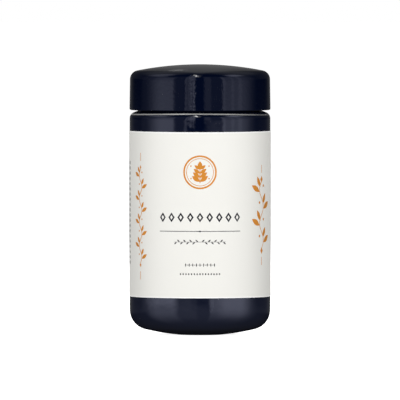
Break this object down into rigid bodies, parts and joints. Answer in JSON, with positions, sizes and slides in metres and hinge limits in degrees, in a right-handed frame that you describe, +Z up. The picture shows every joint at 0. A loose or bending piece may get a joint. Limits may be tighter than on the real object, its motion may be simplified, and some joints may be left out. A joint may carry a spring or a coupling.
{
  "type": "screw-top glass jar",
  "caption": "Wide-mouth jar of dark violet glass with a domed black screw lid and a wrap-round paper label.",
  "frame": {"origin": "centre of the flat ring under the jar that it stands on", "axes": "+Z up along the jar's axis; the middle of the label's printed front faces -Y, and the label's two ends meet at +Y"},
  "size_m": [0.0704, 0.0704, 0.1345],
  "materials": {
    "violet_glass": "glossy, near-black violet, a little wavy as blown glass is",
    "black_plastic": "smooth semi-gloss moulding",
    "white_plastic": "satin polyethylene",
    "label_paper": "uncoated warm white, printed in charcoal and copper"
  },
  "bodies": {
    "jar": {"jar": "violet_glass", "label": "label_paper"},
    "liner": {"liner": "white_plastic"},
    "lid": {"lid": "black_plastic"}
  },
  "joints": [
    {"name": "lid_lift", "type": "slide", "parent": "jar", "child": "liner", "axis": [0, 0, 1], "range_m": [0, 0.0053]},
    {"name": "lid_turn", "type": "hinge", "parent": "liner", "child": "lid", "pos_m": [0, 0, 0.1], "axis": [0, 0, 1], "range_deg": [0, 450]}
  ],
  "couplings": [
    {"joint": "lid_lift", "follows": "lid_turn", "m_per_rad": 0.00066845}
  ]
}
